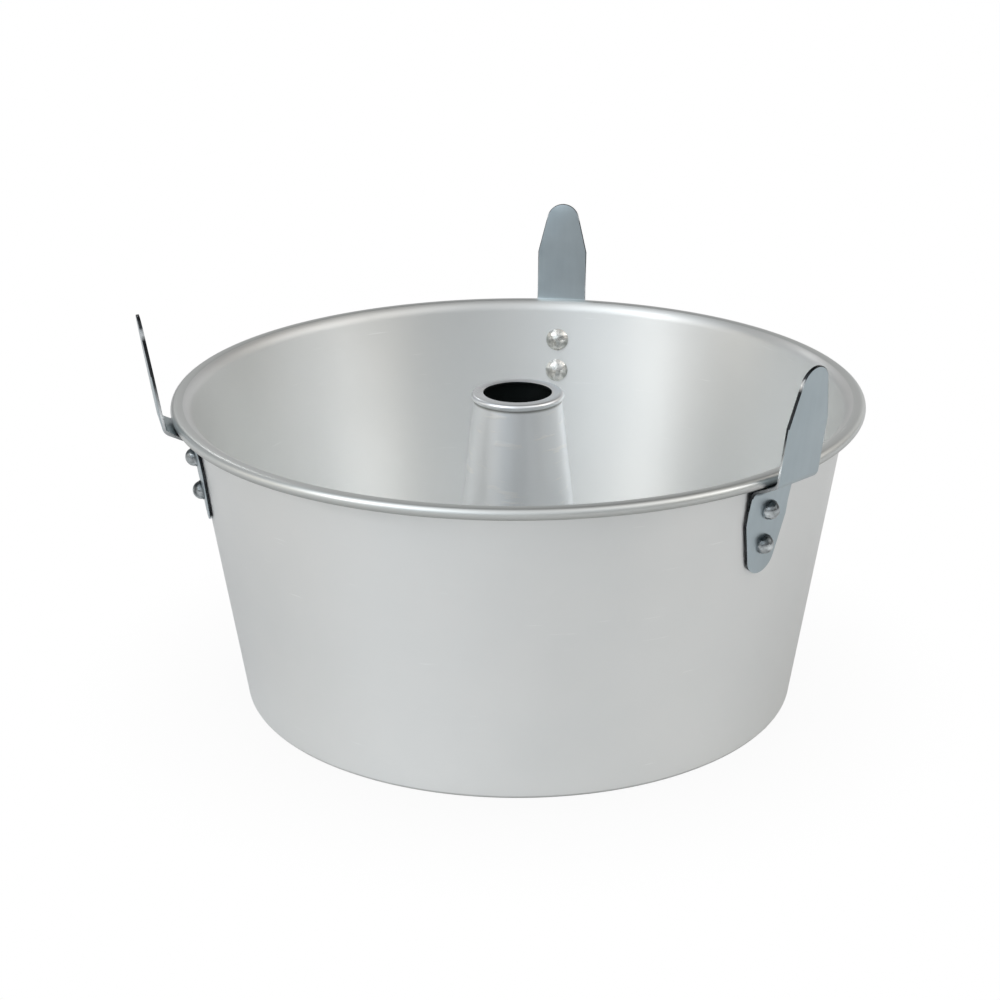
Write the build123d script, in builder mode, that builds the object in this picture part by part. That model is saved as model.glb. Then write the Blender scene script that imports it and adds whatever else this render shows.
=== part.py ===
from build123d import *
from math import atan2, cos, degrees, radians, sin, sqrt, tan
import os

# Angel food cake pan in millimetres, +Z up, with its origin in the middle of the foot, on the surface
# that the pan stands on. A tapered shell with a rolled rim carries three riveted strap legs, and a
# loose bottom with a centre tube lies on the ledge at the foot of the shell and lifts out.
os.makedirs("parts", exist_ok=True)

# Sizes of the shell
rim_diameter = 254.0
pan_height = 115.0
foot_diameter = 207.0
rim_overhang = 6.15
shell_thickness = 1.2
ledge_width = 11.0
foot_corner_radius = 2.0
rim_roll_height = 4.1
rim_turn_radius = 4.5
rim_roll_radius = 2.0
rim_tuck_gap = 0.6

# Sizes of the loose bottom plate
plate_thickness = 1.2
plate_clearance = 0.5
plate_edge_radius = 0.4
tube_hole_clearance = 0.05

# Sizes of the centre tube
tube_thickness = 0.9
tube_drop = 1.4
tube_mouth_radius = 12.7
tube_ring_side = 1.8
tube_ring_overhang = 0.8
tube_ring_bend_radius = 1.2
tube_neck_radius = 16.4
tube_neck_bend_radius = 0.3
tube_foot_radius = 28.0
tube_shoulder_width = 2.0
tube_clinch_width = 4.0
tube_foot_bend_radius = 1.4
tube_clinch_bend_radius = 0.3

# Sizes of one strap leg, measured along the wall from the level of the rim's top
strap_width = 20.4
strap_thickness = 1.2
strap_reach = 40.0
strap_drop = 40.0
strap_end_radius = 6.75
strap_straight_reach = 20.0
strap_bend_radius = 2.4
strap_edge_radius = 0.25
blade_offset = 9.5
jog_rise = 6.4
jog_drop = 7.2

# Sizes of one rivet, and where the two rivets of a leg sit
shank_radius = 2.2
shank_clearance = 0.05
rivet_drop = 15.8
rivet_pitch = 13.0
outer_collar_radius = 3.55
outer_collar_height = 0.5
outer_dome_radius = 3.35
outer_dome_height = 3.0
inner_head_radius = 4.6
inner_skirt_height = 0.4
inner_dome_height = 2.0
inner_seat_gap = 0.02

# Places of the legs round the rim, in degrees from +X. They are not quite evenly spaced.
front_right_leg_angle = -45.3
back_leg_angle = 81.8
left_leg_angle = 194.5
leg_angles = {"front_right": front_right_leg_angle, "back": back_leg_angle, "left": left_leg_angle}
rivet_rows = {"upper": rivet_drop, "lower": rivet_drop + rivet_pitch}

# The wall is a straight cone between the foot and the rim
rim_radius = rim_diameter / 2
foot_radius = foot_diameter / 2
wall_top_radius = rim_radius - rim_overhang
wall_angle = degrees(atan2(wall_top_radius - foot_radius, pan_height))
wall_run_share = (wall_top_radius - foot_radius) / pan_height
wall_run = shell_thickness / cos(radians(wall_angle))


def outer_radius(height):
    """Radius of the wall's outer face at a height."""
    return foot_radius + wall_run_share * height


def inner_radius(height):
    """Radius of the wall's inner face at a height."""
    return outer_radius(height) - wall_run


def leg_plane(azimuth):
    """Plane on the wall's outer face: x along the rim, y up the wall and z outwards."""
    turn = radians(azimuth)
    lean = radians(wall_angle)
    return Plane(
        origin=(wall_top_radius * cos(turn), wall_top_radius * sin(turn), pan_height),
        x_dir=(-sin(turn), cos(turn), 0),
        z_dir=(cos(lean) * cos(turn), cos(lean) * sin(turn), -sin(lean)),
    )


def side_plane(azimuth, drop=0):
    """Upright plane through a leg's middle: x outwards and y up the wall, started a drop below the rim."""
    wall = leg_plane(azimuth)
    return Plane(origin=wall.from_local_coords((0, -drop, 0)), x_dir=wall.z_dir, z_dir=-wall.x_dir)


# Shell: one sheet that turns inwards as a ledge at the foot and rolls outwards at the rim. One line
# follows the face that the cake touches, and the other runs beside it on the sheet's other face.
foot_bend_radius = foot_corner_radius - shell_thickness
rim_underside = pan_height - rim_roll_height
ledge_radius = foot_radius - ledge_width
tuck_edge_radius = outer_radius(rim_underside) + rim_tuck_gap
roll_top = pan_height - shell_thickness
roll_hollow_radius = rim_radius - shell_thickness
roll_floor = rim_underside + shell_thickness
roll_inner_bend = rim_roll_radius - shell_thickness
with BuildPart() as pan_body:
    with BuildSketch(Plane.XZ) as shell_section:
        with BuildLine():
            cake_face = FilletPolyline(
                (ledge_radius, shell_thickness),
                (inner_radius(shell_thickness), shell_thickness),
                (inner_radius(pan_height), pan_height),
                (rim_radius, pan_height),
                (rim_radius, rim_underside),
                (tuck_edge_radius, rim_underside),
                radius=[foot_bend_radius, rim_turn_radius, rim_roll_radius, rim_roll_radius],
            )
            table_face = FilletPolyline(
                (ledge_radius, 0),
                (foot_radius, 0),
                (outer_radius(roll_top), roll_top),
                (roll_hollow_radius, roll_top),
                (roll_hollow_radius, roll_floor),
                (tuck_edge_radius, roll_floor),
                radius=[
                    foot_corner_radius,
                    rim_turn_radius - shell_thickness,
                    roll_inner_bend,
                    roll_inner_bend,
                ],
            )
            Line(cake_face @ 0, table_face @ 0)
            Line(cake_face @ 1, table_face @ 1)
        make_face()
    revolve(axis=Axis.Z)
    for azimuth in leg_angles.values():
        for drop in rivet_rows.values():
            with Locations(leg_plane(azimuth).location):
                with Locations((0, -drop, 0)):
                    Hole(radius=shank_radius + shank_clearance, depth=shell_thickness + rim_overhang)
pan_body.part.label = "pan_body"
export_step(pan_body.part, "parts/pan_body.step")

# Bottom plate: a flat disc that lies loose on the ledge, with a hole for the tube's foot
plate_bottom = shell_thickness
plate_top = plate_bottom + plate_thickness
plate_radius = inner_radius(plate_bottom) - foot_bend_radius - plate_clearance
neck_radius = tube_foot_radius - tube_shoulder_width
with BuildPart() as base_plate:
    with BuildSketch(Plane.XY.offset(plate_bottom)):
        Circle(plate_radius)
        Circle(neck_radius + tube_hole_clearance, mode=Mode.SUBTRACT)
    extrude(amount=plate_thickness)
    circles = base_plate.edges().filter_by(GeomType.CIRCLE).sort_by(SortBy.RADIUS)
    fillet(circles[-2:], radius=plate_edge_radius)
    fillet(circles[:2], radius=tube_clinch_bend_radius + tube_hole_clearance)
base_plate.part.label = "base_plate"
export_step(base_plate.part, "parts/base_plate.step")

# Centre tube: a cone whose mouth swells into a ring and turns flat inwards. Its foot steps in through
# the plate and is clinched outwards under it, so the shoulder and the clinched edge hold the plate
# between them.
tube_top = pan_height - tube_drop
ring_radius = tube_neck_radius + tube_ring_overhang
ring_underside = tube_top - tube_ring_side
cone_top = ring_underside - tube_ring_overhang
clinch_radius = neck_radius + tube_clinch_width
tube_corners = [
    (tube_mouth_radius, tube_top),
    (ring_radius, tube_top),
    (ring_radius, ring_underside),
    (tube_neck_radius, cone_top),
    (tube_foot_radius, plate_top),
    (neck_radius, plate_top),
    (neck_radius, plate_bottom),
    (clinch_radius, plate_bottom),
]


def corners_behind(corners, thickness):
    """Corners of a sheet's far face, which runs on the right of its near face as that is drawn."""
    places = [Vector(*corner) for corner in corners]
    steps = [(end - start).normalized() for start, end in zip(places, places[1:])]
    sides = [Vector(step.Y, -step.X) * thickness for step in steps]
    sides = [sides[0]] + sides + [sides[-1]]
    return [
        place + (before + after) / (1 + before.dot(after) / thickness**2)
        for place, before, after in zip(places, sides, sides[1:])
    ]


with BuildPart() as tube:
    with BuildSketch(Plane.XZ) as tube_section:
        with BuildLine():
            outer_face = FilletPolyline(
                *tube_corners,
                radius=[
                    tube_ring_bend_radius,
                    tube_ring_bend_radius,
                    tube_neck_bend_radius,
                    tube_foot_bend_radius,
                    tube_clinch_bend_radius,
                    tube_clinch_bend_radius,
                ],
            )
            inner_face = FilletPolyline(
                *corners_behind(tube_corners, tube_thickness),
                radius=[
                    tube_ring_bend_radius - tube_thickness,
                    tube_ring_bend_radius - tube_thickness,
                    tube_neck_bend_radius + tube_thickness,
                    tube_foot_bend_radius - tube_thickness,
                    tube_clinch_bend_radius + tube_thickness,
                    tube_clinch_bend_radius + tube_thickness,
                ],
            )
            Line(outer_face @ 0, inner_face @ 0)
            Line(outer_face @ 1, inner_face @ 1)
        make_face()
    revolve(axis=Axis.Z)
tube.part.label = "tube"
export_step(tube.part, "parts/tube.step")

# Legs: each is one strap with two like ends, tapered and round. Its pad lies on the wall, a jog takes
# it out under the rolled rim, and its blade stands up beside the rim, in line with the wall.
half_turn = atan2(blade_offset, jog_rise) / 2
face_shift = strap_thickness * tan(half_turn)
for place, azimuth in leg_angles.items():
    with BuildPart() as leg:
        with BuildSketch(side_plane(azimuth)):
            with BuildLine():
                wall_face = FilletPolyline(
                    (0, -strap_drop),
                    (0, -jog_drop),
                    (blade_offset, jog_rise - jog_drop),
                    (blade_offset, strap_reach),
                    radius=[strap_bend_radius + strap_thickness, strap_bend_radius],
                )
                open_face = FilletPolyline(
                    (strap_thickness, -strap_drop),
                    (strap_thickness, -jog_drop - face_shift),
                    (blade_offset + strap_thickness, jog_rise - jog_drop - face_shift),
                    (blade_offset + strap_thickness, strap_reach),
                    radius=[strap_bend_radius, strap_bend_radius + strap_thickness],
                )
                Line(wall_face @ 0, open_face @ 0)
                Line(wall_face @ 1, open_face @ 1)
            make_face()
        extrude(amount=strap_width / 2, both=True)
        with BuildSketch(leg_plane(azimuth)):
            Rectangle(strap_width, 2 * strap_straight_reach)
            with Locations((0, strap_reach - strap_end_radius), (0, strap_end_radius - strap_drop)):
                Circle(strap_end_radius)
            make_hull()
        extrude(amount=blade_offset + 2 * strap_thickness, mode=Mode.INTERSECT)
        short_edges = leg.edges().filter_by(lambda edge: edge.length < 2 * strap_thickness)
        fillet(leg.edges() - short_edges, radius=strap_edge_radius)
        for drop in rivet_rows.values():
            with Locations(leg_plane(azimuth).location):
                with Locations((0, -drop, 0)):
                    Hole(radius=shank_radius + shank_clearance, depth=blade_offset)
    leg.part.label = "leg_" + place
    export_step(leg.part, "parts/leg_" + place + ".step")

# Rivets: a wide low head inside the wall, a shank through wall and strap, and a tall round head
# outside. The inner head is flat under a hollow wall, so it seats where its edge meets the wall.
inner_dome_bend = (inner_head_radius**2 + inner_dome_height**2) / (2 * inner_dome_height)
outer_dome_bend = (outer_dome_radius**2 + outer_dome_height**2) / (2 * outer_dome_height)
for place, azimuth in leg_angles.items():
    for row, drop in rivet_rows.items():
        wall_radius = inner_radius(pan_height - drop)
        hollow = wall_radius - sqrt(wall_radius**2 - inner_head_radius**2)
        inner_seat = -(shell_thickness + hollow + inner_seat_gap)
        inner_edge = inner_seat - inner_skirt_height
        inner_crown = inner_edge - inner_dome_height
        outer_edge = strap_thickness + outer_collar_height
        outer_crown = outer_edge + outer_dome_height
        section_plane = side_plane(azimuth, drop)
        with BuildPart() as rivet:
            with BuildSketch(section_plane):
                with BuildLine():
                    Polyline(
                        (inner_edge, inner_head_radius),
                        (inner_seat, inner_head_radius),
                        (inner_seat, shank_radius),
                        (strap_thickness, shank_radius),
                        (strap_thickness, outer_collar_radius),
                        (outer_edge, outer_collar_radius),
                        (outer_edge, outer_dome_radius),
                    )
                    RadiusArc((outer_edge, outer_dome_radius), (outer_crown, 0), outer_dome_bend)
                    Line((outer_crown, 0), (inner_crown, 0))
                    RadiusArc((inner_crown, 0), (inner_edge, inner_head_radius), inner_dome_bend)
                make_face()
            revolve(axis=Axis(section_plane.origin, section_plane.x_dir))
        rivet.part.label = "rivet_" + place + "_" + row
        export_step(rivet.part, "parts/rivet_" + place + "_" + row + ".step")
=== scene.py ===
# %% [markdown]
# This lesson dresses an angel food cake pan. The real pan is spun from aluminium sheet: a tapered
# shell with a rolled rim, a loose bottom with a tube in the middle, and three zinc-plated steel legs
# that hold it off the table when it is turned over to cool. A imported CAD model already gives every
# piece its shape and place, so this script adds what a camera sees: finishes, small irregular shapes,
# soft light and a view.

# %% Load the CAD frame
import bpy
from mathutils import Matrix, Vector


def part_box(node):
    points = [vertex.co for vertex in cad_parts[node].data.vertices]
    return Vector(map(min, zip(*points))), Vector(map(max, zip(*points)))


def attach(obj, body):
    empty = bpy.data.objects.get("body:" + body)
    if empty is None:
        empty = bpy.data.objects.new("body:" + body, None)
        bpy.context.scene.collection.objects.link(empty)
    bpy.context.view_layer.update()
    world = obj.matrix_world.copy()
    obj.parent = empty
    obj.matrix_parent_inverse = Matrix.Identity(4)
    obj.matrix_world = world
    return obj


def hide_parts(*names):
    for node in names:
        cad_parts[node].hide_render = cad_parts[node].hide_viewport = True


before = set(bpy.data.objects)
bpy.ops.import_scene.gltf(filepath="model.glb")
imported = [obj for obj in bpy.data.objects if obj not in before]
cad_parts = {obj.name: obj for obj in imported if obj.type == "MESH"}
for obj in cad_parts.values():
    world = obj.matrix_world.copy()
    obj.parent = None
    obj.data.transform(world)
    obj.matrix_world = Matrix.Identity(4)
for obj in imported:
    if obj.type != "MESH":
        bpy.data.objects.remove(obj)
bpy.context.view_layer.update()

# %% [markdown]
# Lengths are easier to read as millimetres, so one named unit turns them into Blender's metres. The
# pan's height and rim are measured on the CAD model, and the other lengths are named where they are
# first needed.

# %% Sizes that the whole lesson shares
import math

import bmesh
import bpy
from mathutils import Matrix, Vector

MM = 0.001
pan_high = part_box("pan_body")[1]
pan_height = pan_high.z
rim_radius = pan_high.x
print("pan height and rim radius, mm:", round(pan_height / MM, 1), round(rim_radius / MM, 1))

# %% [markdown]
# The photograph looks down into the pan from about twenty degrees above the table. A camera is a
# place, three turns and a lens. All of them were worked out together, until the ellipses of the rim,
# the foot and the tube's mouth fell where the photograph shows them.

# %% Camera
camera_place = Vector((0.0, -0.77143, 0.36014))
camera_turns = [math.radians(turn) for turn in (69.452, 0.316, 0.382)]
camera_lens = 78.908
sensor_width = 36

camera_data = bpy.data.cameras.new("camera")
camera_data.lens = camera_lens
camera_data.sensor_width = sensor_width
camera = bpy.data.objects.new("camera", camera_data)
bpy.context.collection.objects.link(camera)
camera.location = camera_place
camera.rotation_euler = camera_turns
bpy.context.scene.camera = camera
print("camera is", round(camera_place.length, 3), "m from the middle of the foot")

# %% [markdown]
# A finish is built from shader nodes. These helpers add one node, fill in its inputs by name and give
# it back, so that a material reads as a short list of what it is made from. Effects that several
# finishes share become node groups, which are small graphs with named inputs and outputs.

# %% Helpers for shader nodes
def fill_inputs(tree, node, inputs):
    """Sets a node's inputs by name or number, to values or to sockets of other nodes."""
    for name, value in inputs.items():
        if isinstance(value, bpy.types.NodeSocket):
            tree.links.new(value, node.inputs[name])
        else:
            node.inputs[name].default_value = value
    return node


def add_node(tree, kind, inputs=None, **settings):
    """Adds a shader node with its settings and inputs."""
    node = tree.nodes.new("ShaderNode" + kind)
    for name, value in settings.items():
        setattr(node, name, value)
    return fill_inputs(tree, node, inputs or {})


def mix_colours(tree, share, first, second):
    """Mixes two colours, each a tint or a socket; share is how much of the second one shows."""
    inputs = {0: share}
    for socket, colour in ((6, first), (7, second)):
        inputs[socket] = colour if isinstance(colour, bpy.types.NodeSocket) else (*colour, 1)
    return add_node(tree, "Mix", inputs, data_type="RGBA").outputs[2]


def new_material(name):
    """A material with an empty Principled shader, given back with its tree and that shader."""
    material = bpy.data.materials.new(name)
    material.use_nodes = True
    tree = material.node_tree
    return material, tree, tree.nodes["Principled BSDF"]


def new_group(name, inputs, output):
    """An empty node group; inputs are (kind, start value) by name, output is (name, kind)."""
    group = bpy.data.node_groups.new(name, "ShaderNodeTree")
    for socket, (kind, start) in inputs.items():
        made = group.interface.new_socket(socket, in_out="INPUT", socket_type="NodeSocket" + kind)
        if start is not None:
            made.default_value = start
    group.interface.new_socket(output[0], in_out="OUTPUT", socket_type="NodeSocket" + output[1])
    return group, group.nodes.new("NodeGroupInput").outputs, group.nodes.new("NodeGroupOutput").inputs


def place_group(tree, group, inputs):
    """Puts a group into a tree with its own values."""
    node = tree.nodes.new("ShaderNodeGroup")
    node.node_tree = group
    return fill_inputs(tree, node, inputs)


# %% [markdown]
# Metal shows its surroundings, so the studio comes before the finishes. The pan stands in a white light
# tent. Lamps outside it make soft bright patches on the cloth, and these are what the metal reflects.
# Area lights could do it too, but they leave dark gaps between them, which show on the legs and
# rivets. So the tent is the world's background: each patch is brightest towards one direction and
# fades smoothly around it, as a power of the cosine of the angle from there.

# %% Group: patch of light on the tent
patch_group, given, made = new_group(
    "tent_patch",
    {
        "Direction": ("Vector", None),
        "Towards": ("Vector", None),
        "Focus": ("Float", 16.0),
        "Glow": ("Vector", None),
    },
    ("Light", "Vector"),
)
facing = add_node(
    patch_group, "VectorMath", {0: given["Direction"], 1: given["Towards"]}, operation="DOT_PRODUCT"
)
ahead = add_node(patch_group, "Math", {0: facing.outputs["Value"], 1: 0.0}, operation="MAXIMUM")
fade = add_node(patch_group, "Math", {0: ahead.outputs[0], 1: given["Focus"]}, operation="POWER")
light = add_node(
    patch_group, "VectorMath", {0: given["Glow"], "Scale": fade.outputs[0]}, operation="SCALE"
)
patch_group.links.new(light.outputs["Vector"], made["Light"])
print(patch_group.name, "has", len(patch_group.nodes), "nodes")

# %% [markdown]
# To find out how bright each patch should be, light one at a time and look at what it adds to the metal.
# A strong patch at the left front gives the broad highlights, one at the right answers it more weakly,
# and some are a little cooler or warmer than white. The values are round numbers, because nobody sees
# a smaller step. The camera itself never sees the tent, only a plain white sweep.

# %% Light tent
tent_white = Vector((1.0, 1.0, 1.0))
tent_cool = Vector((0.9, 1.0, 1.08))
tent_warm = Vector((1.06, 1.0, 0.92))
tent_patches = {
    "left_front": (32, 300, 1.4, tent_white),
    "left_front_high": (58, 312, 0.9, tent_white),
    "right": (32, 90, 0.95, tent_white),
    "right_front_high": (58, 45, 0.7, tent_white),
    "front_left": (32, 330, 1.0, tent_cool),
    "right_back": (32, 120, 0.55, tent_warm),
    "right_front": (32, 60, 0.6, tent_warm),
    "left_low": (8, 270, 0.8, tent_warm),
    "back_left": (32, 210, 0.5, tent_white),
    "back_right_low": (8, 150, 0.5, tent_white),
    "front": (32, 0, 0.4, tent_white),
    "left_high": (58, 270, 0.55, tent_cool),
    "front_low": (8, 0, 0.25, tent_white),
    "back_low": (8, 180, 0.35, tent_white),
    "top": (85, 0, 0.35, tent_white),
    "right_high": (58, 90, 0.3, tent_warm),
    "left_back_low": (8, 240, 0.3, tent_cool),
    "front_right": (32, 30, 0.3, tent_cool),
}
plain_cloth = Vector((0.1, 0.1, 0.1))
patch_focus = 16
sweep_shade = 1.0


def towards(height_angle, turn):
    """The direction at an angle above the table, turned from the camera's side, in degrees."""
    up, around = math.radians(height_angle), math.radians(turn)
    return Vector((math.cos(up) * math.sin(around), -math.cos(up) * math.cos(around), math.sin(up)))


def hang_tent(tree, patches):
    """Adds up patches of (height angle, turn, brightness, tint) and gives back their sum."""
    direction = add_node(tree, "TexCoord").outputs["Generated"]
    total = add_node(tree, "VectorMath", {0: plain_cloth})
    for name, (height_angle, turn, brightness, tint) in patches.items():
        inputs = {
            "Direction": direction,
            "Towards": towards(height_angle, turn),
            "Focus": patch_focus,
            "Glow": tint * brightness,
        }
        patch = place_group(tree, patch_group, inputs)
        patch.label = name
        total = add_node(tree, "VectorMath", {0: total.outputs[0], 1: patch.outputs[0]})
    return total.outputs[0]


sky = bpy.data.worlds.new("light_tent")
sky.use_nodes = True
bpy.context.scene.world = sky
tent_light = hang_tent(sky.node_tree, tent_patches)
rays = add_node(sky.node_tree, "LightPath")
seen = mix_colours(
    sky.node_tree, rays.outputs["Is Camera Ray"], tent_light, (sweep_shade, sweep_shade, sweep_shade)
)
sky.node_tree.links.new(seen, sky.node_tree.nodes["Background"].inputs["Color"])
bpy.context.scene.view_settings.view_transform = "Standard"
print(len(tent_patches), "patches of light on the tent")

# %% [markdown]
# A tent alone is too even: smooth metal also needs something small and bright to sparkle with. Small
# square lamps hang just inside the tent, two near its brightest patches and one behind the pan, so
# that sheared edges and rivets catch a point of light while the dull wall hardly changes.

# %% Small lamps
lamp_distance = 3.0
lamp_side = 0.25
lamp_places = {"lamp_left": (36, 299, 14), "lamp_right": (34, 76, 6), "lamp_back": (35, 205, 6)}

for name, (height_angle, turn, brightness) in lamp_places.items():
    lamp = bpy.data.lights.new(name, "AREA")
    lamp.size = lamp_side
    lamp.energy = brightness * math.pi * lamp_side**2
    holder = bpy.data.objects.new(name, lamp)
    bpy.context.collection.objects.link(holder)
    away_from_pan = towards(height_angle, turn)
    holder.location = away_from_pan * lamp_distance
    holder.rotation_euler = away_from_pan.to_track_quat("Z", "Y").to_euler()
print(len(lamp_places), "small lamps, each", lamp_side, "m wide")

# %% [markdown]
# The floor is a plain white sweep, over-exposed as in a catalogue picture. Camera rays see it nearly
# white with a soft contact shadow, made from how closed-in each point of it is. All other rays see
# ordinary matt paper, which is what the metal reflects.

# %% Floor
floor_size = 12.0
paper_shade = 0.85
paper_roughness = 0.9
paper_gloss = 0.1
contact_reach = 0.07
shadow_share = 0.93

bpy.ops.object.select_all(action="DESELECT")
bpy.ops.mesh.primitive_plane_add(size=floor_size)
floor = bpy.context.object
floor.name = "floor"
floor_material, tree, paper = new_material("paper_sweep")
paper.inputs["Base Color"].default_value = (paper_shade, paper_shade, paper_shade, 1)
paper.inputs["Roughness"].default_value = paper_roughness
paper.inputs["Specular IOR Level"].default_value = paper_gloss
closeness = add_node(tree, "AmbientOcclusion", {"Distance": contact_reach})
shadow = add_node(
    tree,
    "MapRange",
    {"Value": closeness.outputs["AO"], "To Min": sweep_shade * shadow_share, "To Max": sweep_shade},
)
glow = add_node(tree, "Emission", {"Color": shadow.outputs["Result"]})
rays = add_node(tree, "LightPath")
mix = add_node(
    tree,
    "MixShader",
    {0: rays.outputs["Is Camera Ray"], 1: paper.outputs["BSDF"], 2: glow.outputs["Emission"]},
)
tree.links.new(mix.outputs["Shader"], tree.nodes["Material Output"].inputs["Surface"])
floor.data.materials.append(floor_material)
print("floor is", floor_size, "m wide")

# %% [markdown]
# A spinning lathe leaves very fine rings on aluminium. They all run round the pan's axis, so the
# pattern must be long round the axis and short along the wall. The trick is in the coordinates: the
# direction from the axis, kept at a small length, says where round the pan a point is, and height
# plus distance from the axis says how far along the wall it is. Noise read there comes out as rings,
# with no seam anywhere.

# %% Group: spun rings
spun_rings, given, made = new_group(
    "spun_rings",
    {"Vector": ("Vector", None), "Rings per Metre": ("Float", 2500.0), "Wander": ("Float", 2.0)},
    ("Height", "Float"),
)
split = add_node(spun_rings, "SeparateXYZ", {"Vector": given["Vector"]})
flat = add_node(spun_rings, "CombineXYZ", {"X": split.outputs["X"], "Y": split.outputs["Y"]})
outward = add_node(spun_rings, "VectorMath", {0: flat.outputs[0]}, operation="NORMALIZE")
distance = add_node(spun_rings, "VectorMath", {0: flat.outputs[0]}, operation="LENGTH")
along = add_node(
    spun_rings, "Math", {0: split.outputs["Z"], 1: distance.outputs["Value"]}, operation="ADD"
)
ring_count = add_node(
    spun_rings, "Math", {0: along.outputs[0], 1: given["Rings per Metre"]}, operation="MULTIPLY"
)
around = add_node(
    spun_rings, "VectorMath", {0: outward.outputs[0], "Scale": given["Wander"]}, operation="SCALE"
)
up_axis = add_node(spun_rings, "CombineXYZ", {"Z": ring_count.outputs[0]})
place = add_node(spun_rings, "VectorMath", {0: around.outputs[0], 1: up_axis.outputs[0]})
rings = add_node(
    spun_rings, "TexNoise", {"Vector": place.outputs[0], "Scale": 1.0, "Detail": 2.0, "Roughness": 0.6}
)
spun_rings.links.new(rings.outputs["Fac"], made["Height"])
print(spun_rings.name, "has", len(spun_rings.nodes), "nodes")

# %% [markdown]
# Hands, dish cloths and the oven leave faint clouds on bare metal. One soft noise, stretched to a
# wanted contrast, serves as that haze on every finish.

# %% Group: haze
haze, given, made = new_group(
    "haze",
    {
        "Vector": ("Vector", None),
        "Patches per Metre": ("Float", 20.0),
        "Low": ("Float", 0.0),
        "High": ("Float", 1.0),
    },
    ("Amount", "Float"),
)
clouds = add_node(
    haze,
    "TexNoise",
    {"Vector": given["Vector"], "Scale": given["Patches per Metre"], "Detail": 4.0, "Roughness": 0.55},
)
level = add_node(
    haze,
    "MapRange",
    {
        "Value": clouds.outputs["Fac"],
        "From Min": 0.3,
        "From Max": 0.7,
        "To Min": given["Low"],
        "To Max": given["High"],
    },
)
haze.links.new(level.outputs["Result"], made["Amount"])
print(haze.name, "has", len(haze.nodes), "nodes")

# %% [markdown]
# Use leaves short fine scratches that run round the metal, as a sponge or the rim of a plate does. They
# are made from the rings: a coarser set is cut off so high that only thin dashes are left. The less
# the noise wanders round the axis, the longer the dashes are.

# %% Group: scuffs round the axis
scuffs, given, made = new_group(
    "scuffs",
    {
        "Vector": ("Vector", None),
        "Lines per Metre": ("Float", 700.0),
        "Wander": ("Float", 5.0),
        "Cut": ("Float", 0.6),
        "Contrast": ("Float", 14.0),
    },
    ("Amount", "Float"),
)
dashes = place_group(
    scuffs,
    spun_rings,
    {"Vector": given["Vector"], "Rings per Metre": given["Lines per Metre"], "Wander": given["Wander"]},
)
above = add_node(scuffs, "Math", {0: dashes.outputs["Height"], 1: given["Cut"]}, operation="SUBTRACT")
sharp = add_node(
    scuffs, "Math", {0: above.outputs[0], 1: given["Contrast"]}, operation="MULTIPLY", use_clamp=True
)
scuffs.links.new(sharp.outputs[0], made["Amount"])
print(scuffs.name, "has", len(scuffs.nodes), "nodes")

# %% [markdown]
# A fine dark line is painted along each fold as painted shade and dark reflection: under the rolled
# rim, at the foot and below the tube's ring. Elsewhere a band is painted brighter than the rest, as a
# painted highlight, or darker, as painted shade on top of the rivets. One group serves them all: it is
# full at a given place along the piece and fades with the distance from it.

# %% Group: near a place
near_place, given, made = new_group(
    "near_place",
    {"Place": ("Float", 0.0), "Centre": ("Float", 0.0), "Reach": ("Float", 0.001)},
    ("Amount", "Float"),
)
offset = add_node(near_place, "Math", {0: given["Place"], 1: given["Centre"]}, operation="SUBTRACT")
gap = add_node(near_place, "Math", {0: offset.outputs[0]}, operation="ABSOLUTE")
share = add_node(near_place, "Math", {0: gap.outputs[0], 1: given["Reach"]}, operation="DIVIDE")
near = add_node(near_place, "Math", {0: 1.0, 1: share.outputs[0]}, operation="SUBTRACT", use_clamp=True)
near_place.links.new(near.outputs[0], made["Amount"])
print(near_place.name, "has", len(near_place.nodes), "nodes")

# %% [markdown]
# The spun aluminium itself. Rings scatter light across themselves, so highlights stretch up and down
# the wall: that is anisotropy, with its tangent running round the axis and turned by a quarter. The
# rings also feed a very shallow bump, and the haze moves roughness and tint a little. How smooth, how
# stretched and how scuffed the metal is differs from piece to piece, so this is a function, and each
# round piece below calls it with its own values.

# %% Function: spun aluminium
ring_height = 0.02 * MM
scratch_height = 0.06 * MM
# Painted shade: the tint of the fine dark line along folds.
painted_fold_shade_tint = (0.3, 0.3, 0.29)
roughness_swing = 0.03
tint_clouds_per_metre = 14.0
gloss_clouds_per_metre = 30.0
quarter_turn = 0.25


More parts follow.
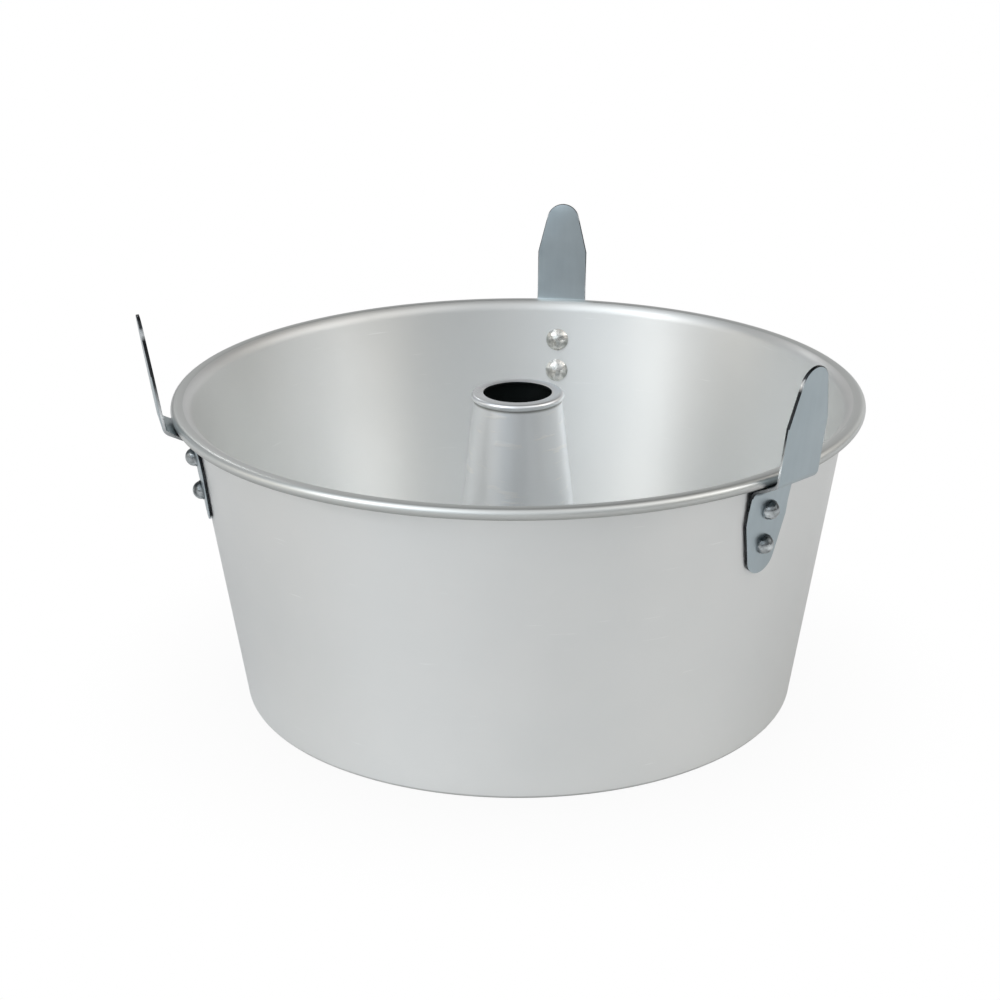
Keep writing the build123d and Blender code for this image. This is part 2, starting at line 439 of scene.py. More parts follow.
def make_spun_aluminium(name, tints, roughness, stretch, rings_per_metre, scuffing, corner):
    """Bare aluminium with lathe rings; stretch is how far highlights run across the rings.

    The tints are the clean, the hazed and the scuffed one. Scuffing is the scuffs' lines per metre,
    wander and cut, and corner is the height and reach of the painted dark line of shade.
    """
    material, tree, metal = new_material(name)
    where = add_node(tree, "TexCoord").outputs["Object"]
    height = add_node(tree, "SeparateXYZ", {"Vector": where}).outputs["Z"]
    ring = place_group(tree, spun_rings, {"Vector": where, "Rings per Metre": rings_per_metre})
    cloud = place_group(tree, haze, {"Vector": where, "Patches per Metre": tint_clouds_per_metre})
    rough_cloud = place_group(
        tree,
        haze,
        {
            "Vector": where,
            "Patches per Metre": gloss_clouds_per_metre,
            "Low": roughness - roughness_swing,
            "High": roughness + roughness_swing,
        },
    )
    lines_per_metre, wander, cut = scuffing
    scuff = place_group(
        tree,
        scuffs,
        {"Vector": where, "Lines per Metre": lines_per_metre, "Wander": wander, "Cut": cut},
    )
    corner_height, corner_reach = corner
    # Painted shade and dark reflection: a fine dark line along the fold.
    painted_fold_shade = place_group(
        tree, near_place, {"Place": height, "Centre": corner_height, "Reach": corner_reach}
    )
    clean_tint, hazed_tint, scuffed_tint = tints
    hazed = mix_colours(tree, cloud.outputs["Amount"], clean_tint, hazed_tint)
    scuffed = mix_colours(tree, scuff.outputs["Amount"], hazed, scuffed_tint)
    colour = mix_colours(tree, painted_fold_shade.outputs["Amount"], scuffed, painted_fold_shade_tint)
    bump = add_node(
        tree, "Bump", {"Strength": 0.4, "Distance": ring_height, "Height": ring.outputs["Height"]}
    )
    scratch = add_node(
        tree,
        "Bump",
        {
            "Strength": 0.5,
            "Distance": scratch_height,
            "Height": scuff.outputs["Amount"],
            "Normal": bump.outputs["Normal"],
        },
    )
    tangent = add_node(tree, "Tangent", direction_type="RADIAL", axis="Z")
    metal.inputs["Metallic"].default_value = 1
    metal.inputs["Anisotropic"].default_value = stretch
    metal.inputs["Anisotropic Rotation"].default_value = quarter_turn
    tree.links.new(colour, metal.inputs["Base Color"])
    tree.links.new(rough_cloud.outputs["Amount"], metal.inputs["Roughness"])
    tree.links.new(scratch.outputs["Normal"], metal.inputs["Normal"])
    tree.links.new(tangent.outputs["Tangent"], metal.inputs["Tangent"])
    return material


# %% [markdown]
# The inside of the tube is painted almost black, as painted shade in the deep bore, with only a weak
# gloss, so it is a dark plain surface rather than a metal.

# %% Material: dark bore
# Painted shade: the bore is painted near black.
bore_tint = (0.006, 0.008, 0.008)
bore_smear_tint = (0.02, 0.024, 0.024)
bore_gloss = 0.12
crust_height = 0.1 * MM

bore_finish, tree, bore_shader = new_material("painted_shade_bore")
where = add_node(tree, "TexCoord").outputs["Object"]
smear = place_group(tree, haze, {"Vector": where, "Patches per Metre": 90.0})
dullness = place_group(
    tree, haze, {"Vector": where, "Patches per Metre": 60.0, "Low": 0.45, "High": 0.6}
)
crust = add_node(
    tree, "Bump", {"Strength": 0.3, "Distance": crust_height, "Height": smear.outputs["Amount"]}
)
bore_shader.inputs["Specular IOR Level"].default_value = bore_gloss
bore_colour = mix_colours(tree, smear.outputs["Amount"], bore_tint, bore_smear_tint)
tree.links.new(bore_colour, bore_shader.inputs["Base Color"])
tree.links.new(dullness.outputs["Amount"], bore_shader.inputs["Roughness"])
tree.links.new(crust.outputs["Normal"], bore_shader.inputs["Normal"])
print("first finish:", bore_finish.name)

# %% [markdown]
# The legs are steel with a thin blue-white zinc coat, smoother than the pan. They were stamped, and
# their sheared edges are bare steel, painted almost black as painted dark reflection and shade. The
# strip was rolled lengthways, which leaves faint streaks along each leg. A flat map, stored on the
# blank before it is bent, makes the streaks follow the bends, and it says where along an edge a
# painted highlight lies.

# %% Materials: zinc plating and its sheared edge
zinc_tint = (0.53, 0.6, 0.635)
zinc_cloud_tint = (0.47, 0.54, 0.575)
# Painted dark reflection and shade: the sheared edges are painted almost black.
painted_dark_edge_tint = (0.012, 0.014, 0.016)
painted_dark_edge_cloud_tint = (0.07, 0.075, 0.08)
painted_glint_tint = (0.9, 0.93, 0.95)
flat_map_name = "flat_blank"
lengthways = (1.0, 0.06, 1.0)
streaks_per_metre = 450.0
finer_gloss = 2.3
wave_height = 0.15 * MM
# Painted highlights and reflections along the sheared edge: heights on the flat blank and their reach.
edge_glints = [(34.6 * MM, 2.2 * MM), (5.0 * MM, 12.0 * MM), (-38.8 * MM, 1.6 * MM)]


def make_stamped_steel(name, tints, clouds_per_metre, roughness, painted_glint_places):
    """Cold steel: two tints in clouds, a roughness range, and streaks that run along the strap.

    Painted glint places are heights on the flat blank, with their reach, where painted highlights lie.
    """
    first_tint, second_tint = tints
    smoothest, roughest = roughness
    material, tree, metal = new_material(name)
    where = add_node(tree, "TexCoord").outputs["Object"]
    on_blank = add_node(tree, "UVMap", uv_map=flat_map_name).outputs["UV"]
    stretched = add_node(tree, "Mapping", {"Vector": on_blank, "Scale": lengthways})
    cloud = place_group(tree, haze, {"Vector": where, "Patches per Metre": clouds_per_metre})
    rough_cloud = place_group(
        tree,
        haze,
        {
            "Vector": where,
            "Patches per Metre": clouds_per_metre * finer_gloss,
            "Low": smoothest,
            "High": roughest,
        },
    )
    streaks = place_group(
        tree,
        haze,
        {
            "Vector": stretched.outputs["Vector"],
            "Patches per Metre": streaks_per_metre,
            "Low": 0.96,
            "High": 1.0,
        },
    )
    clouded = mix_colours(tree, cloud.outputs["Amount"], first_tint, second_tint)
    streaked = add_node(
        tree, "VectorMath", {0: clouded, "Scale": streaks.outputs["Amount"]}, operation="SCALE"
    )
    colour = streaked.outputs["Vector"]
    along = add_node(tree, "SeparateXYZ", {"Vector": on_blank}).outputs["Y"]
    for height, reach in painted_glint_places:
        near = place_group(tree, near_place, {"Place": along, "Centre": height, "Reach": reach})
        colour = mix_colours(tree, near.outputs["Amount"], colour, painted_glint_tint)
    waves = add_node(tree, "TexNoise", {"Vector": where, "Scale": 120.0, "Detail": 0.0})
    bump = add_node(
        tree, "Bump", {"Strength": 0.5, "Distance": wave_height, "Height": waves.outputs["Fac"]}
    )
    metal.inputs["Metallic"].default_value = 1
    tree.links.new(colour, metal.inputs["Base Color"])
    tree.links.new(rough_cloud.outputs["Amount"], metal.inputs["Roughness"])
    tree.links.new(bump.outputs["Normal"], metal.inputs["Normal"])
    return material


leg_finish = make_stamped_steel(
    "zinc_plated_steel",
    tints=(zinc_tint, zinc_cloud_tint),
    clouds_per_metre=45.0,
    roughness=(0.28, 0.34),
    painted_glint_places=[],
)
sheared_painted_dark_finish = make_stamped_steel(
    "sheared_steel_edge",
    tints=(painted_dark_edge_tint, painted_dark_edge_cloud_tint),
    clouds_per_metre=110.0,
    roughness=(0.2, 0.34),
    painted_glint_places=edge_glints,
)
print("two finishes for the legs:", leg_finish.name, sheared_painted_dark_finish.name)

# %% [markdown]
# Rivets are plain soft metal. Setting them leaves dents, darker smears and small bright flats, so both
# tint and bump are strong here and the gloss is high. The heads outside are painted darker than the
# ones inside, as painted shade and dark reflection, most of all on their upper halves, just below the
# rim.

# %% Function: rivet metal
dent_height = 0.35 * MM


def make_rivet_metal(name, dark_tint, bright_tint, painted_shade_places):
    """Dented soft metal in two tints; painted shade places are heights with their reach, painted dark.
    """
    material, tree, metal = new_material(name)
    where = add_node(tree, "TexCoord").outputs["Object"]
    dents = add_node(tree, "TexNoise", {"Vector": where, "Scale": 480.0, "Detail": 2.0})
    bump = add_node(
        tree, "Bump", {"Strength": 0.9, "Distance": dent_height, "Height": dents.outputs["Fac"]}
    )
    gloss = place_group(
        tree, haze, {"Vector": where, "Patches per Metre": 400.0, "Low": 0.1, "High": 0.22}
    )
    marks = place_group(tree, haze, {"Vector": where, "Patches per Metre": 300.0})
    metal.inputs["Metallic"].default_value = 1
    colour = mix_colours(tree, marks.outputs["Amount"], dark_tint, bright_tint)
    height = add_node(tree, "SeparateXYZ", {"Vector": where}).outputs["Z"]
    for centre, reach in painted_shade_places:
        near = place_group(tree, near_place, {"Place": height, "Centre": centre, "Reach": reach})
        colour = mix_colours(tree, near.outputs["Amount"], colour, dark_tint)
    tree.links.new(colour, metal.inputs["Base Color"])
    tree.links.new(gloss.outputs["Amount"], metal.inputs["Roughness"])
    tree.links.new(bump.outputs["Normal"], metal.inputs["Normal"])
    return material


# %% [markdown]
# Four of the pan's pieces are round, so they are drawn once and turned. First a line is drawn in the
# upright plane through the axis: a new plane is merged into a single point, and the point is extruded
# from corner to corner. Its corners are then rounded with a vertex bevel. The bevel asks how far from
# the corner its arc begins, which is the bend's radius times the tangent of half the turn.

# %% Helpers: choose in edit mode, and draw a line with rounded corners
near_enough = 0.001 * MM
bend_steps = 6


def choose(piece, kind, wanted):
    """In edit mode, selects only the vertices, edges or faces that wanted() says yes to."""
    bpy.ops.mesh.select_mode(type=kind)
    bpy.ops.mesh.select_all(action="DESELECT")
    mesh = bmesh.from_edit_mesh(piece.data)
    items = {"VERT": mesh.verts, "EDGE": mesh.edges, "FACE": mesh.faces}[kind]
    for item in items:
        if wanted(item):
            item.select_set(True)
    bmesh.update_edit_mesh(piece.data)


def draw_line(name, corners):
    """Draws corners of (distance from the axis, height, bend radius) as one line, and rounds it."""
    bpy.ops.object.select_all(action="DESELECT")
    bpy.ops.mesh.primitive_plane_add(size=MM)
    piece = bpy.context.object
    piece.name = name
    bpy.ops.object.mode_set(mode="EDIT")
    bpy.ops.mesh.select_mode(type="VERT")
    bpy.ops.mesh.select_all(action="SELECT")
    bpy.ops.mesh.merge(type="CENTER")
    places = [Vector((out, 0, height)) for out, height, bend in corners]
    bends = [bend for out, height, bend in corners]
    bpy.ops.transform.translate(value=places[0])
    for here, there in zip(places, places[1:]):
        bpy.ops.mesh.extrude_region_move(TRANSFORM_OT_translate={"value": there - here})
    for before, corner, after, bend in zip(places, places[1:], places[2:], bends[1:]):
        if bend:
            turn = (corner - before).angle(after - corner)
            choose(piece, "VERT", lambda vertex: (vertex.co - corner).length < near_enough)
            bpy.ops.mesh.bevel(
                offset=bend * math.tan(turn / 2), segments=bend_steps, affect="VERTICES", profile=0.5
            )
    return piece


# %% [markdown]
# Spinning the line by a full turn makes the skin. Faces of an open skin may end up looking either
# way, so the largest one is asked which way it looks and all are flipped if that is wrong. Then the
# Solidify modifier gives the sheet its thickness behind the drawn face, and is applied.

# %% Helpers: turn on the lathe and give thickness
smooth_angle = 35


def turn_on_lathe(piece, steps, looks):
    """Spins the drawn line round the Z axis; looks(centre) is the way that a face there should look."""
    bpy.ops.mesh.select_all(action="SELECT")
    bpy.ops.mesh.spin(steps=steps, angle=2 * math.pi, center=(0, 0, 0), axis=(0, 0, 1))
    bpy.ops.mesh.select_all(action="SELECT")
    bpy.ops.mesh.remove_doubles(threshold=near_enough)
    bpy.ops.mesh.normals_make_consistent(inside=False)
    mesh = bmesh.from_edit_mesh(piece.data)
    widest = max(mesh.faces, key=lambda face: face.calc_area())
    if widest.normal.dot(looks(widest.calc_center_median())) < 0:
        bpy.ops.mesh.flip_normals()
    bpy.ops.object.mode_set(mode="OBJECT")


def to_axis(centre):
    """The way from a face to the pan's axis."""
    return Vector((-centre.x, -centre.y, 0))


def from_axis(centre):
    """The way from the pan's axis to a face."""
    return Vector((centre.x, centre.y, 0))


def along_axis(centre):
    """Straight up the axis, wherever the face is."""
    return Vector((0, 0, 1))


def apply_modifier(piece, kind, **settings):
    """Adds a modifier and applies it, so that the mesh keeps its result."""
    bpy.context.view_layer.objects.active = piece
    modifier = piece.modifiers.new(kind.lower(), kind)
    for name, value in settings.items():
        setattr(modifier, name, value)
    bpy.ops.object.modifier_apply(modifier=modifier.name)


def finish_piece(piece, material, body, node):
    """Smooths a piece, gives it its finish, and lets it stand for its CAD node on a CAD body."""
    if not piece.data.materials:
        piece.data.materials.append(material)
    bpy.ops.object.select_all(action="DESELECT")
    piece.select_set(True)
    bpy.context.view_layer.objects.active = piece
    bpy.ops.object.shade_smooth_by_angle(angle=math.radians(smooth_angle))
    piece.data.name = piece.name
    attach(piece, body)
    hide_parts(node)
    print(piece.name, "has", len(piece.data.polygons), "faces")


# %% [markdown]
# The shell is drawn along the face that the cake touches: from the ledge inside the foot, up the
# tapered wall, over the rim and round the roll. The sheet's thickness then grows on its other side.

# %% Pan shell
sheet_thickness = 1.2 * MM
foot_radius = 103.5 * MM
ledge_width = 11.0 * MM
foot_bend = 0.8 * MM
rim_overhang = 6.15 * MM
rim_turn_bend = 4.5 * MM
rim_roll_bend = 2.0 * MM
rim_roll_height = 4.1 * MM
rim_tuck_gap = 0.6 * MM
shell_steps = 250

wall_top_radius = rim_radius - rim_overhang
wall_lean = math.atan2(wall_top_radius - foot_radius, pan_height)
wall_gap = sheet_thickness / math.cos(wall_lean)
wall_slope = math.tan(wall_lean)
roll_underside = pan_height - rim_roll_height

shell = draw_line(
    "pan_shell",
    [
        (foot_radius - ledge_width, sheet_thickness, 0),
        (foot_radius + wall_slope * sheet_thickness - wall_gap, sheet_thickness, foot_bend),
        (wall_top_radius - wall_gap, pan_height, rim_turn_bend),
        (rim_radius, pan_height, rim_roll_bend),
        (rim_radius, roll_underside, rim_roll_bend),
        (foot_radius + wall_slope * roll_underside + rim_tuck_gap, roll_underside, 0),
    ],
)
turn_on_lathe(shell, shell_steps, to_axis)
apply_modifier(shell, "SOLIDIFY", thickness=sheet_thickness, offset=-1, use_even_offset=True)

# %% [markdown]
# The wall keeps the dull look that the spinning tool leaves. Rolling presses the rim smooth, so the roll
# gets a shinier finish of its own, in which thin dark and bright lines follow it. Every face that lies
# further out than the wall's top, by more than the sheet is thick, takes it.

# %% Finishes of the pan shell
sheet_tints = ((0.92, 0.925, 0.915), (0.885, 0.9, 0.895), (0.97, 0.98, 0.975))
wall_scuffing = (700.0, 5.0, 0.7)
# These two say where fine dark lines of painted shade lie, at the foot and under the roll.
foot_shade_line = (0.0, 1.6 * MM)
roll_shade_line = (roll_underside, 2.8 * MM)
rim_tints = ((0.79, 0.81, 0.795), (0.765, 0.785, 0.775), (0.9, 0.92, 0.91))
rim_slot = 1

shell_finish = make_spun_aluminium(
    "spun_aluminium",
    tints=sheet_tints,
    roughness=0.43,
    stretch=0.82,
    rings_per_metre=2200.0,
    scuffing=wall_scuffing,
    corner=foot_shade_line,
)
rim_finish = make_spun_aluminium(
    "rolled_rim_aluminium",
    tints=rim_tints,
    roughness=0.35,
    stretch=0.5,
    rings_per_metre=2200.0,
    scuffing=wall_scuffing,
    corner=roll_shade_line,
)
shell.data.materials.append(shell_finish)
shell.data.materials.append(rim_finish)
for face in shell.data.polygons:
    if face.center.xy.length > wall_top_radius + sheet_thickness:
        face.material_index = rim_slot
finish_piece(shell, shell_finish, "pan", "pan_body")

# %% [markdown]
# The loose bottom is a flat disc on the ledge with a hole for the tube's foot. It is one straight
# line turned round the axis, thickened downwards, and its edges are broken with a small bevel.

# %% Base plate
plate_thickness = 1.2 * MM
plate_top = sheet_thickness + plate_thickness
plate_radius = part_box("base_plate")[1].x
plate_hole_radius = 26.05 * MM
plate_edge_bevel = 0.3 * MM

plate_finish = make_spun_aluminium(
    "rolled_aluminium",
    tints=sheet_tints,
    roughness=0.42,
    stretch=0.6,
    rings_per_metre=1500.0,
    scuffing=wall_scuffing,
    # Painted shade: a dark line along the plate's lower edge, on the ledge.
    corner=(sheet_thickness, plate_thickness),
)
plate = draw_line("loose_bottom", [(plate_hole_radius, plate_top, 0), (plate_radius, plate_top, 0)])
turn_on_lathe(plate, shell_steps, along_axis)
apply_modifier(plate, "SOLIDIFY", thickness=plate_thickness, offset=-1)
apply_modifier(plate, "BEVEL", width=plate_edge_bevel, segments=2, limit_method="ANGLE")
finish_piece(plate, plate_finish, "insert", "base_plate")

# %% [markdown]
# The tube is one sheet too. Its line starts under the plate, where the foot is clinched outwards,
# climbs through the plate and up the cone, swells into a ring at the mouth and turns flat inwards. The
# tube is drawn smoother than the wall, and the ring is pressed smoother still, so each gets a finish.

# %% Sizes and finishes of the centre tube
tube_sheet = 0.9 * MM
tube_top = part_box("tube")[1].z
tube_mouth_radius = 12.7 * MM
tube_neck_radius = 16.4 * MM
ring_side = 1.8 * MM
ring_overhang = 0.8 * MM
ring_bend = 1.2 * MM
tube_foot_radius = 28.0 * MM
tube_shoulder = 2.0 * MM
clinch_width = 4.0 * MM
tight_bend = 0.3 * MM
tube_foot_bend = 1.4 * MM
mouth_edge_bevel = 0.12 * MM
tube_steps = 160

hole_radius = tube_foot_radius - tube_shoulder
ring_radius = tube_neck_radius + ring_overhang
ring_underside = tube_top - ring_side
# Painted shade: a fine dark line below the tube's ring.
neck_shade_line = (ring_underside - ring_overhang, 0.9 * MM)
tube_tints = ((0.94, 0.965, 0.985), (0.92, 0.945, 0.965), (0.99, 1.0, 1.0))
tube_scuffing = (420.0, 1.5, 0.59)
tube_finish = make_spun_aluminium(
    "drawn_aluminium",
    tints=tube_tints,
    roughness=0.37,
    stretch=0.82,
    rings_per_metre=1600.0,
    scuffing=tube_scuffing,
    corner=neck_shade_line,
)
ring_finish = make_spun_aluminium(
    "pressed_ring_aluminium",
    tints=tube_tints,
    roughness=0.28,
    stretch=0.3,
    rings_per_metre=1600.0,
    scuffing=tube_scuffing,
    corner=neck_shade_line,
)
print("tube's neck and ring radius, mm:", round(tube_neck_radius / MM, 1), round(ring_radius / MM, 1))

# %% [markdown]
# The crisp edge of the hole matters: it makes the mouth a sharp black ellipse. Solidify can put another
# material on the far side of a sheet, so the bore gets its painted shade, a dark skin, that way. Where
# the sheet turns flat at the mouth, and under the plate, the faces are set back by their place.

# %% Centre tube
sharp_turn = math.radians(60)
tube_slot, ring_slot = 0, 2

tube = draw_line(
    "centre_tube",
    [
        (hole_radius + clinch_width, sheet_thickness, 0),
        (hole_radius, sheet_thickness, tight_bend),
        (hole_radius, plate_top, tight_bend),
        (tube_foot_radius, plate_top, tube_foot_bend),
        (tube_neck_radius, ring_underside - ring_overhang, tight_bend),
        (ring_radius, ring_underside, ring_bend),
        (ring_radius, tube_top, ring_bend),
        (tube_mouth_radius, tube_top, 0),
    ],
)
turn_on_lathe(tube, tube_steps, from_axis)
tube.data.materials.append(tube_finish)
tube.data.materials.append(bore_finish)
tube.data.materials.append(ring_finish)
apply_modifier(
    tube,
    "SOLIDIFY",
    thickness=tube_sheet,
    offset=-1,
    use_even_offset=True,
    material_offset=1,
    material_offset_rim=1,
)
apply_modifier(
    tube,
    "BEVEL",
    width=mouth_edge_bevel,
    segments=2,
    limit_method="ANGLE",
    angle_limit=sharp_turn,
)
for face in tube.data.polygons:
    if face.center.z < plate_top:
        face.material_index = tube_slot
    if face.center.z > tube_top - mouth_edge_bevel:
        face.material_index = ring_slot
    if face.center.z > ring_underside and face.center.xy.length > tube_neck_radius:
        face.material_index = ring_slot
finish_piece(tube, tube_finish, "insert", "tube")

# %% [markdown]
# A leg starts as the press shop starts it: as a flat blank. Here that is a filled circle, pulled apart
# into a strap with two round ends. Two cuts mark where the wide middle part ends, and the corners there
# are moved outwards until the sides slant straight into the round ends. Points of the circle that
# would stand outside those slanting sides are dissolved.

# %% Blank of a leg
strap_half_width = 10.2 * MM
strap_thickness = 1.2 * MM
strap_reach = 40.0 * MM
strap_end_radius = 6.75 * MM
strap_straight_reach = 20.0 * MM
end_points = 64

bpy.ops.object.select_all(action="DESELECT")
bpy.ops.mesh.primitive_circle_add(
    vertices=end_points, radius=strap_end_radius, fill_type="NGON", rotation=(0, 0, math.pi / end_points)
)
blank = bpy.context.object
bpy.ops.object.transform_apply(rotation=True)
bpy.ops.object.mode_set(mode="EDIT")
for side in (1, -1):
    choose(blank, "VERT", lambda vertex: vertex.co.y * side > 0)
    bpy.ops.transform.translate(value=(0, side * (strap_reach - strap_end_radius), 0))


def cut_across(height):
    """Cuts the blank with a straight line across it."""
    bpy.ops.mesh.select_all(action="SELECT")
    bpy.ops.mesh.bisect(plane_co=(0, height, 0), plane_no=(0, 1, 0))


def at_height(vertex, height):
    """True for a vertex on the line across the blank at a height."""
    return abs(vertex.co.y - height) < near_enough


for side in (1, -1):
    cut_across(side * strap_straight_reach)
end_middle = strap_reach - strap_end_radius
corner_away = Vector((strap_half_width, strap_straight_reach - end_middle))
touch_angle = math.acos(strap_end_radius / corner_away.length)
touch_angle += math.atan2(corner_away.y, corner_away.x)
touch_height = end_middle + strap_end_radius * math.sin(touch_angle)
choose(blank, "VERT", lambda vertex: strap_straight_reach + MM < abs(vertex.co.y) < touch_height)
bpy.ops.mesh.dissolve_verts()
choose(blank, "VERT", lambda vertex: abs(abs(vertex.co.y) - strap_straight_reach) < near_enough)
bpy.ops.transform.resize(
    value=(strap_half_width / strap_end_radius, 1, 1), center_override=(0, 0, 0)
)
print("blank has", len(bmesh.from_edit_mesh(blank.data).verts), "vertices")

# %% [markdown]
# Two more cuts mark the bends. The part above them is moved out by the blade's offset, which turns the
# piece between the cuts into a slope, and an edge bevel rounds both bends. A UV map is stored while the
# blank is still flat, so that the grain of the metal follows the bends later.

# %% Bend the blank into a leg
blade_offset = 9.5 * MM
jog_drop = 7.2 * MM
jog_rise = 6.4 * MM
inner_bend = 2.4 * MM
strap_edge = 0.25 * MM

jog_foot = -jog_drop
jog_top = jog_rise - jog_drop
bend_lines = {jog_foot: inner_bend + strap_thickness, jog_top: inner_bend}
for height in bend_lines:
    cut_across(height)
mesh = bmesh.from_edit_mesh(blank.data)
flat_map = mesh.loops.layers.uv.new(flat_map_name)
for face in mesh.faces:
    for corner in face.loops:
        corner[flat_map].uv = corner.vert.co.xy
bmesh.update_edit_mesh(blank.data)
choose(blank, "VERT", lambda vertex: vertex.co.y > jog_top - near_enough)
bpy.ops.transform.translate(value=(0, 0, blade_offset))
half_turn = math.atan2(blade_offset, jog_rise) / 2
for height, bend in bend_lines.items():
    choose(blank, "EDGE", lambda edge: all(at_height(vertex, height) for vertex in edge.verts))
    bpy.ops.mesh.bevel(offset=bend * math.tan(half_turn), segments=bend_steps, affect="EDGES")
print("bent blank has", len(bmesh.from_edit_mesh(blank.data).verts), "vertices")

# %% [markdown]
# The riveted end is flat so far, and the wall behind it is round, so its two sides would stand off by
# nearly half a millimetre. The rivets pull the real strap onto the wall. That end is cut into narrow
# lengthways strips, which are then lowered by as much as the wall curves away under them.

# %% Press the riveted end to the wall
pad_top = jog_foot - (inner_bend + strap_thickness) * math.tan(half_turn)
pad_press_reach = 6.0 * MM
pad_curve_radius = 118.8 * MM
pad_strip_width = 1.7 * MM
pad_strips_a_side = 5
pad_steps = 3


def cut_pad(place, way):
    """Cuts only the riveted end, with the line through a place that way points across."""
    choose(blank, "FACE", lambda face: face.calc_center_median().y < pad_top)
    bpy.ops.mesh.bisect(plane_co=place, plane_no=way)


for strip in range(-pad_strips_a_side, pad_strips_a_side + 1):
    cut_pad((strip * pad_strip_width, 0, 0), (1, 0, 0))
for step in range(1, pad_steps + 1):
    cut_pad((0, pad_top - pad_press_reach * step / pad_steps, 0), (0, 1, 0))
mesh = bmesh.from_edit_mesh(blank.data)
for vertex in mesh.verts:
    pressed = min(max((pad_top - vertex.co.y) / pad_press_reach, 0), 1)
    vertex.co.z -= pressed * vertex.co.x**2 / (2 * pad_curve_radius)
print("pressed blank has", len(mesh.verts), "vertices")
bmesh.update_edit_mesh(blank.data)
bpy.ops.object.mode_set(mode="OBJECT")

# %% [markdown]
# Thickness comes last. The sheared rim of the strap gets the second finish, painted almost black, and
# so does its small bevel, except where the tool has rounded the plated face over the edge.

# %% Thickness of the strap
plated_slot, sheared_slot = 0, 1
right_angle_or_so = math.radians(50)
facing_out = 0.15

blank.data.materials.append(leg_finish)
blank.data.materials.append(sheared_painted_dark_finish)
apply_modifier(
    blank,
    "SOLIDIFY",
    thickness=strap_thickness,
    offset=1,
    use_even_offset=True,
    material_offset_rim=sheared_slot,
)
apply_modifier(
    blank,
    "BEVEL",
    width=strap_edge,
    segments=3,
    limit_method="ANGLE",
    angle_limit=right_angle_or_so,
    material=sheared_slot,
)
for face in blank.data.polygons:
    rounded_over = jog_top < face.center.y < strap_straight_reach or face.center.y < pad_top
    if face.material_index == sheared_slot and face.normal.z > facing_out and rounded_over:
        face.material_index = plated_slot
print("bent leg has", len(blank.data.polygons), "faces")

# %% [markdown]
# Each leg stands on the wall's outer face, turned to its own place round the rim and leaning with the
# wall. Three directions say how: along the rim, up the wall, and straight out of it. A copy of the
# bent blank is moved there and its place is then written into its mesh, as the CAD nodes' is.

# %% Three legs
leg_turns = {"front_right": -45.3, "back": 81.8, "left": 194.5}


def wall_frame(turn):
    """The place and directions of the wall's outer face at the rim's height, as a matrix."""
    angle = math.radians(turn)
    out_level = Vector((math.cos(angle), math.sin(angle), 0))
    along_rim = Vector((-math.sin(angle), math.cos(angle), 0))
    out = out_level * math.cos(wall_lean) - Vector((0, 0, math.sin(wall_lean)))
    up_wall = out.cross(along_rim)
    matrix = Matrix((along_rim, up_wall, out)).transposed().to_4x4()
    return Matrix.Translation(out_level * wall_top_radius + Vector((0, 0, pan_height))) @ matrix


def place_copy(model, name, matrix):
    """A copy with its own mesh, moved by the matrix, which is then written into that mesh."""
    piece = bpy.data.objects.new(name, model.data.copy())
    bpy.context.collection.objects.link(piece)
    piece.data.transform(matrix)
    return piece


for place, turn in leg_turns.items():
    leg = place_copy(blank, "strap_leg_" + place, wall_frame(turn))
    finish_piece(leg, leg_finish, "pan", "leg_" + place)
bpy.data.objects.remove(blank)

# %% [markdown]
# A rivet is turned on the lathe as well, and then laid on its side in the wall. Its line runs from
# the crown of the wide inner head, round that head, along the shank and over the tall outer head.
# Both crowns are arcs of a circle through the head's edge and its crown. The largest faces lie flat
# under the inner head and look along the shank, so that is the way to ask them.

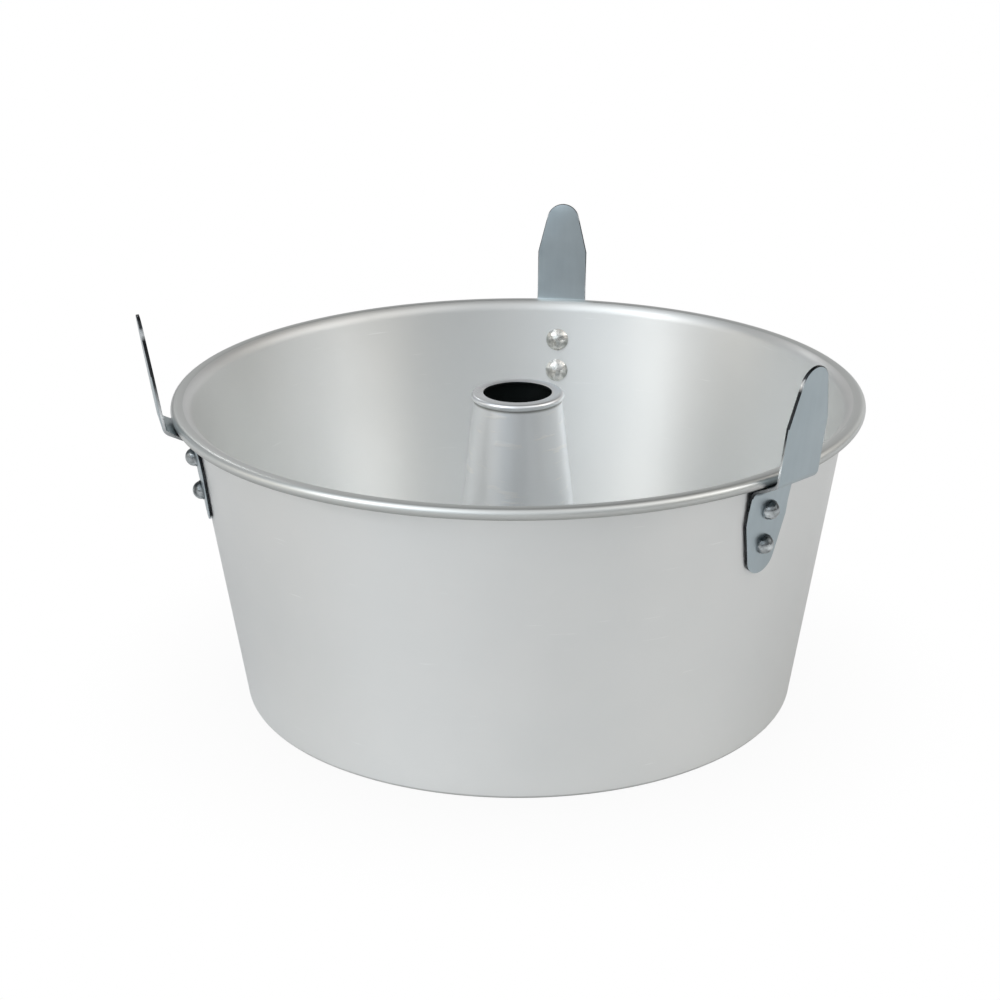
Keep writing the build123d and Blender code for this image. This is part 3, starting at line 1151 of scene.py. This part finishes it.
# %% One rivet
shank_radius = 2.2 * MM
outer_collar = (3.55 * MM, 0.5 * MM)
outer_dome = (3.35 * MM, 3.0 * MM)
inner_head = (4.6 * MM, 0.4 * MM)
inner_dome_height = 2.0 * MM
inner_seat_gap = 0.11 * MM
inner_seat = sheet_thickness + inner_seat_gap
rivet_drops = {"upper": 15.8 * MM, "lower": 28.8 * MM}
dome_steps = 8
rivet_steps = 36
painted_shade_head_slot = 1
painted_shade_reach = 3.4 * MM
painted_shade_tops = [
    (pan_height - drop * math.cos(wall_lean) + outer_dome[0], painted_shade_reach)
    for drop in rivet_drops.values()
]
rivet_finish = make_rivet_metal("rivet_aluminium", (0.42, 0.43, 0.41), (0.97, 0.96, 0.93), [])
# The outer heads are a darker copy of the rivet metal, painted shade and dark reflection, darkest on
# top.
painted_shade_rivet_finish = make_rivet_metal(
    "outer_head_painted_shade_metal", (0.02, 0.03, 0.035), (0.8, 0.84, 0.86), painted_shade_tops
)


def dome(radius, height, start, way):
    """Points of a round crown, from its edge at start to its middle, growing in the way of way."""
    ball = (radius**2 + height**2) / (2 * height)
    span = math.asin(radius / ball) if height < radius else math.pi - math.asin(radius / ball)
    points = []
    for step in range(dome_steps + 1):
        angle = span * (1 - step / dome_steps)
        rise = height - ball * (1 - math.cos(angle))
        points.append((ball * math.sin(angle), start + way * rise, 0))
    return points


collar_top = strap_thickness + outer_collar[1]
inner_edge = -(inner_seat + inner_head[1])
rivet = draw_line(
    "rivet",
    [
        *reversed(dome(inner_head[0], inner_dome_height, inner_edge, -1)),
        (inner_head[0], -inner_seat, 0),
        (shank_radius, -inner_seat, 0),
        (shank_radius, strap_thickness, 0),
        (outer_collar[0], strap_thickness, 0),
        (outer_collar[0], collar_top, 0),
        *dome(*outer_dome, collar_top, 1),
    ],
)
turn_on_lathe(rivet, rivet_steps, along_axis)
rivet.data.materials.append(rivet_finish)
rivet.data.materials.append(painted_shade_rivet_finish)
# Faces of the outer head take the painted-shade copy of the rivet metal.
for face in rivet.data.polygons:
    if face.center.z > 0:
        face.material_index = painted_shade_head_slot
print("rivet has", len(rivet.data.polygons), "faces")

# %% [markdown]
# Two rivets hold each leg, one below the other. Each copy gets the same wall frame as its leg, moved
# down the wall by the rivet's own drop from the rim.

# %% Six rivets
for place, turn in leg_turns.items():
    for row, drop in rivet_drops.items():
        seat = wall_frame(turn) @ Matrix.Translation((0, -drop, 0))
        head = place_copy(rivet, "rivet_head_" + place + "_" + row, seat)
        finish_piece(head, rivet_finish, "pan", "rivet_" + place + "_" + row)
bpy.data.objects.remove(rivet)
